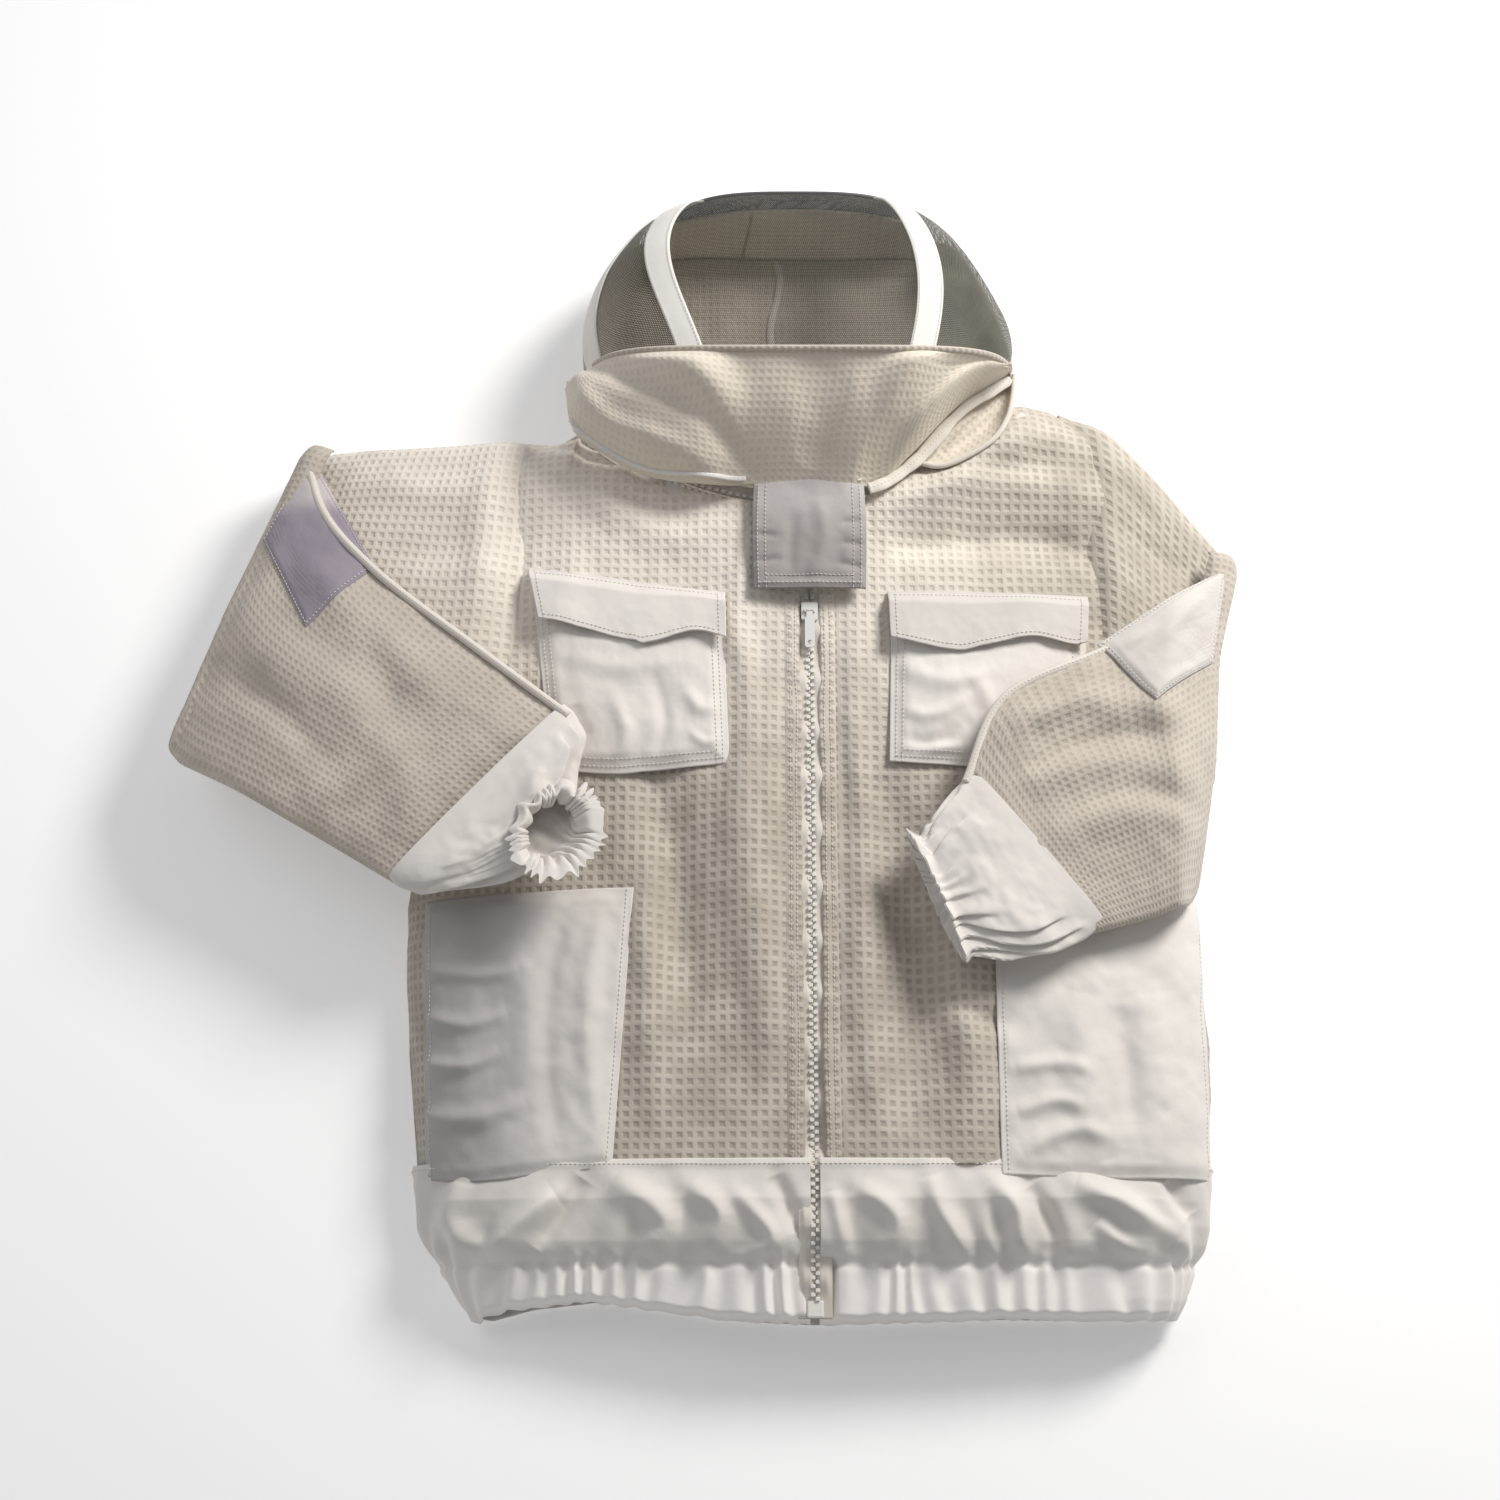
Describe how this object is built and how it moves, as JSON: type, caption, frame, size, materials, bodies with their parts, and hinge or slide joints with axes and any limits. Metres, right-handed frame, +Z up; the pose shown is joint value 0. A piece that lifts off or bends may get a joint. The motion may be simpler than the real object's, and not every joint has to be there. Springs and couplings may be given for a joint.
{
  "type": "beekeeping jacket with hood",
  "caption": "Ventilated beekeeping jacket with a front zip, patch pockets and a zip-off mesh veil hood, lying flat with both sleeves folded over the chest.",
  "frame": {"origin": "centre of the flat underside of the back panel, below the front zip", "axes": "+Z up from the table through the front of the jacket, +Y from the hem to the hood, +X towards the wearer's left"},
  "size_m": [0.8732, 0.916, 0.1662],
  "materials": {
    "mesh_cloth": "matt three-layer spacer mesh",
    "cotton": "matt white poly-cotton",
    "veil_mesh": "open dark mesh",
    "zip_tape": "woven tape",
    "zip_teeth": "moulded",
    "zip_slider": "die cast, satin",
    "hook_and_loop": "hook and loop tape",
    "elastic": "knitted elastic",
    "stay": "spring strip"
  },
  "bodies": {
    "jacket": {"back_hem_band": "cotton", "back_panel": "mesh_cloth", "front_zip_bottom_box": "zip_teeth", "front_zip_tape_left": "zip_tape", "front_zip_tape_right": "zip_tape", "front_zip_teeth_left": "zip_teeth", "front_zip_teeth_right": "zip_teeth", "front_zip_top_stops": "zip_teeth", "hem_elastic": "elastic", "left_chest_pocket": "cotton", "left_front_panel": "mesh_cloth", "left_hem_band": "cotton", "left_lower_pocket": "cotton", "left_pocket_hook_strip": "hook_and_loop", "left_upper_sleeve": "mesh_cloth", "neck_hook_patches": "hook_and_loop", "neck_zip_tape_lower": "zip_tape", "neck_zip_teeth_lower": "zip_teeth", "right_chest_pocket": "cotton", "right_front_panel": "mesh_cloth", "right_hem_band": "cotton", "right_lower_pocket": "cotton", "right_pocket_hook_strip": "hook_and_loop", "right_upper_sleeve": "mesh_cloth"},
    "hood": {"hood_back": "mesh_cloth", "hood_front": "mesh_cloth", "hood_brim_hem": "cotton", "veil_binding": "mesh_cloth", "veil_right_mesh": "veil_mesh", "veil_front_mesh": "veil_mesh", "veil_left_mesh": "veil_mesh", "right_stay_casing": "cotton", "left_stay_casing": "cotton", "right_veil_stay": "stay", "left_veil_stay": "stay", "neck_zip_tape_upper": "zip_tape", "neck_zip_teeth_upper": "zip_teeth", "neck_tab_seam": "cotton"},
    "neck_tab_flap": {"neck_tab": "cotton", "neck_tab_loop_patch": "hook_and_loop"},
    "front_slider": {"front_zip_slider": "zip_slider"},
    "front_pull": {"front_zip_pull": "zip_slider"},
    "right_neck_slider": {"neck_zip_slider_right": "zip_slider"},
    "left_neck_slider": {"neck_zip_slider_left": "zip_slider"},
    "right_neck_pull": {"neck_zip_pull_right": "zip_slider"},
    "left_neck_pull": {"neck_zip_pull_left": "zip_slider"},
    "right_flap": {"right_pocket_flap": "cotton", "right_flap_loop_strip": "hook_and_loop"},
    "left_flap": {"left_pocket_flap": "cotton", "left_flap_loop_strip": "hook_and_loop"},
    "right_folded_sleeve": {"right_forearm": "mesh_cloth", "right_cuff": "cotton", "right_cuff_elastic": "elastic", "right_underarm_gusset": "cotton"},
    "left_folded_sleeve": {"left_forearm": "mesh_cloth", "left_cuff": "cotton", "left_cuff_elastic": "elastic", "left_underarm_gusset": "cotton"}
  },
  "joints": [
    {"name": "front_zip", "type": "slide", "parent": "jacket", "child": "front_slider", "axis": [0, -1, 0], "range_m": [0, 0.525]},
    {"name": "front_zip_pull_swing", "type": "hinge", "parent": "front_slider", "child": "front_pull", "pos_m": [0, 0.11, 0.0759], "axis": [-1, 0, 0], "range_deg": [0, 105]},
    {"name": "right_neck_zip", "type": "hinge", "parent": "jacket", "child": "right_neck_slider", "pos_m": [0, 0.47, 0.07], "axis": [0, 0, 1], "range_deg": [-38, 0]},
    {"name": "left_neck_zip", "type": "hinge", "parent": "jacket", "child": "left_neck_slider", "pos_m": [0, 0.47, 0.07], "axis": [0, 0, 1], "range_deg": [0, 38]},
    {"name": "right_neck_pull_swing", "type": "hinge", "parent": "right_neck_slider", "child": "right_neck_pull", "pos_m": [-0.00879, 0.20515, 0.0759], "axis": [0.0332, 0.9995, 0], "range_deg": [0, 18]},
    {"name": "left_neck_pull_swing", "type": "hinge", "parent": "left_neck_slider", "child": "left_neck_pull", "pos_m": [0.00879, 0.20515, 0.0759], "axis": [0.0332, -0.9995, 0], "range_deg": [0, 18]},
    {"name": "hood_lift_off", "type": "slide", "parent": "jacket", "child": "hood", "axis": [0, 1, 0], "range_m": [0, 0.3]},
    {"name": "neck_tab_lift", "type": "hinge", "parent": "hood", "child": "neck_tab_flap", "pos_m": [0, 0.2186, 0.0871], "axis": [-1, 0, 0], "range_deg": [0, 110]},
    {"name": "right_flap_lift", "type": "hinge", "parent": "jacket", "child": "right_flap", "pos_m": [-0.146, 0.146, 0.0713], "axis": [-1, 0, 0], "range_deg": [0, 130]},
    {"name": "left_flap_lift", "type": "hinge", "parent": "jacket", "child": "left_flap", "pos_m": [0.146, 0.146, 0.0713], "axis": [-1, 0, 0], "range_deg": [0, 130]},
    {"name": "right_sleeve_unfold", "type": "hinge", "parent": "jacket", "child": "right_folded_sleeve", "pos_m": [-0.418, 0.268, 0.045], "axis": [-0.3334, -0.9428, 0], "range_deg": [0, 160]},
    {"name": "left_sleeve_unfold", "type": "hinge", "parent": "jacket", "child": "left_folded_sleeve", "pos_m": [0.358, 0.165, 0.045], "axis": [0.1475, 0.9891, 0], "range_deg": [0, 160]}
  ]
}
